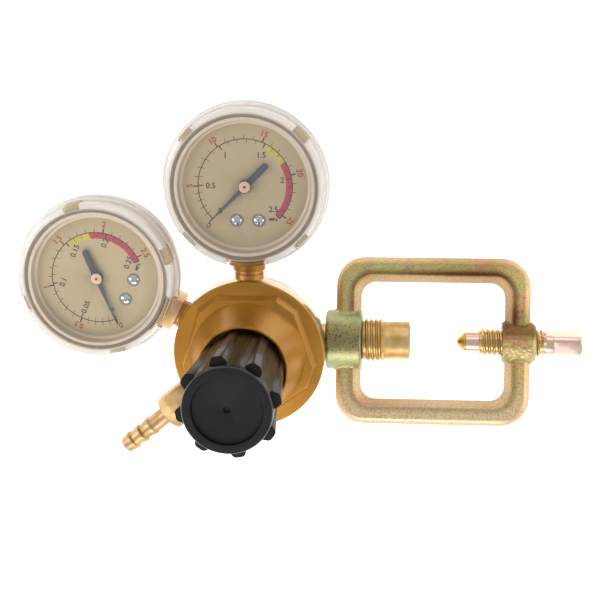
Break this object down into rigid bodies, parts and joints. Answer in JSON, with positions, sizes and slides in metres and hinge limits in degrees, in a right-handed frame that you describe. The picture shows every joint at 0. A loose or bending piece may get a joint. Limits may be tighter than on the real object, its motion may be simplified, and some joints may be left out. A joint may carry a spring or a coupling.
{
  "type": "gas cylinder pressure regulator with yoke clamp",
  "caption": "Gas cylinder pressure regulator: fluted knob, two clear-covered gauges, a yoke clamp with screw, and a hose tail.",
  "frame": {"origin": "centre of the rear cap's outer face, on the knob's axis", "axes": "+Z along the knob's axis, from the rear cap to the knob's face; +X along the inlet's axis, from the body to the yoke screw"},
  "size_m": [0.2297, 0.1493, 0.1053],
  "materials": {
    "lacquered_brass": "gold lacquer, gloss",
    "bare_brass": "turned, satin",
    "sintered_bronze": "matt",
    "copper": "satin",
    "plain_steel": "satin",
    "yellow_zinc": "cast, yellow zinc plated",
    "copper_zinc": "zinc plated, copper tinted",
    "black_plastic": "moulded",
    "rubber": "matt",
    "fibre": "matt",
    "beige_paint": "gloss",
    "grey_plastic": "matt",
    "dial_print": "printed, matt",
    "grey_paint": "matt",
    "clear_plastic": "clear moulded"
  },
  "bodies": {
    "root": {"body": "lacquered_brass", "bonnet": "lacquered_brass", "diaphragm": "rubber", "adjusting_spring": "plain_steel", "nozzle": "bare_brass", "poppet_spring": "plain_steel", "rear_cap": "bare_brass", "rear_seal": "rubber", "inlet_nipple": "bare_brass", "inlet_filter": "sintered_bronze", "inlet_washer": "fibre", "outlet_stem": "bare_brass", "high_case": "beige_paint", "high_cover": "clear_plastic", "high_ring": "grey_plastic", "high_dial": "dial_print", "high_dial_screws": "plain_steel", "high_socket": "bare_brass", "high_washer": "copper", "high_tube": "bare_brass", "high_movement": "bare_brass", "low_case": "beige_paint", "low_cover": "clear_plastic", "low_ring": "grey_plastic", "low_dial": "dial_print", "low_dial_screws": "plain_steel", "low_socket": "bare_brass", "low_washer": "copper", "low_tube": "bare_brass", "low_movement": "bare_brass"},
    "button": {"spring_button": "plain_steel"},
    "knob": {"knob": "black_plastic", "adjusting_screw": "plain_steel"},
    "valve": {"diaphragm_plate": "bare_brass", "diaphragm_nut": "plain_steel", "push_pin": "plain_steel", "poppet": "bare_brass", "seat_disc": "rubber"},
    "yoke": {"yoke": "yellow_zinc"},
    "point": {"yoke_point": "bare_brass"},
    "screw": {"yoke_screw": "copper_zinc"},
    "tail": {"hose_tail": "bare_brass"},
    "nut": {"union_nut": "bare_brass"},
    "high_hand": {"high_pointer": "grey_paint", "high_spindle": "plain_steel"},
    "high_quadrant": {"high_sector": "bare_brass"},
    "high_rod": {"high_link": "bare_brass"},
    "low_hand": {"low_pointer": "grey_paint", "low_spindle": "plain_steel"},
    "low_quadrant": {"low_sector": "bare_brass"},
    "low_rod": {"low_link": "bare_brass"}
  },
  "joints": [
    {"name": "button_slide", "type": "slide", "parent": "root", "child": "button", "axis": [0, 0, -1], "range_m": [0, 0.0075], "deforming": ["adjusting_spring"]},
    {"name": "knob_turn", "type": "hinge", "parent": "button", "child": "knob", "pos_m": [0, 0, 0.09], "axis": [0, 0, -1], "range_deg": [0, 1800]},
    {"name": "valve_lift", "type": "slide", "parent": "root", "child": "valve", "axis": [0, 0, -1], "range_m": [0, 0.0008], "stiffness_N_per_m": 2000, "springref_m": -0.002, "deforming": ["poppet_spring", "diaphragm"]},
    {"name": "yoke_swivel", "type": "hinge", "parent": "root", "child": "yoke", "pos_m": [0.04, 0, 0.018], "axis": [1, 0, 0], "continuous": true},
    {"name": "screw_travel", "type": "slide", "parent": "yoke", "child": "point", "axis": [-1, 0, 0], "range_m": [-0.009, 0.012]},
    {"name": "screw_turn", "type": "hinge", "parent": "point", "child": "screw", "pos_m": [0.11, 0, 0.018], "axis": [-1, 0, 0], "range_deg": [-1620, 2160]},
    {"name": "tail_slide", "type": "slide", "parent": "root", "child": "tail", "axis": [-0.7749, -0.632, 0], "range_m": [0, 0.0045]},
    {"name": "nut_turn", "type": "hinge", "parent": "tail", "child": "nut", "pos_m": [-0.02945, -0.02402, 0.033], "axis": [0.7749, 0.632, 0], "range_deg": [0, 1080]},
    {"name": "high_pointer_turn", "type": "hinge", "parent": "root", "child": "high_hand", "pos_m": [0, 0.0696, 0.041], "axis": [0, 0, -1], "range_deg": [0, 270]},
    {"name": "high_sector_turn", "type": "hinge", "parent": "root", "child": "high_quadrant", "pos_m": [0, 0.08226, 0.033], "axis": [0, 0, 1], "range_deg": [0, 45]},
    {"name": "high_link_slide", "type": "slide", "parent": "root", "child": "high_rod", "axis": [-0.7997, -0.6004, 0], "range_m": [0, 0.00421]},
    {"name": "low_pointer_turn", "type": "hinge", "parent": "root", "child": "low_hand", "pos_m": [-0.06062, 0.03169, 0.041], "axis": [0, 0, -1], "range_deg": [0, 270]},
    {"name": "low_sector_turn", "type": "hinge", "parent": "root", "child": "low_quadrant", "pos_m": [-0.07222, 0.03676, 0.033], "axis": [0, 0, 1], "range_deg": [0, 45]},
    {"name": "low_link_slide", "type": "slide", "parent": "root", "child": "low_rod", "axis": [0.23, -0.9732, 0], "range_m": [0, 0.00421]}
  ],
  "couplings": [
    {"joint": "knob_turn", "follows": "button_slide", "rad_per_m": 4188.8},
    {"joint": "screw_turn", "follows": "screw_travel", "rad_per_m": 3141.6},
    {"joint": "nut_turn", "follows": "tail_slide", "rad_per_m": 4188.8},
    {"joint": "high_pointer_turn", "follows": "high_link_slide", "rad_per_m": 1119.5},
    {"joint": "high_sector_turn", "follows": "high_link_slide", "rad_per_m": 186.58},
    {"joint": "low_pointer_turn", "follows": "low_link_slide", "rad_per_m": 1119.5},
    {"joint": "low_sector_turn", "follows": "low_link_slide", "rad_per_m": 186.58}
  ]
}
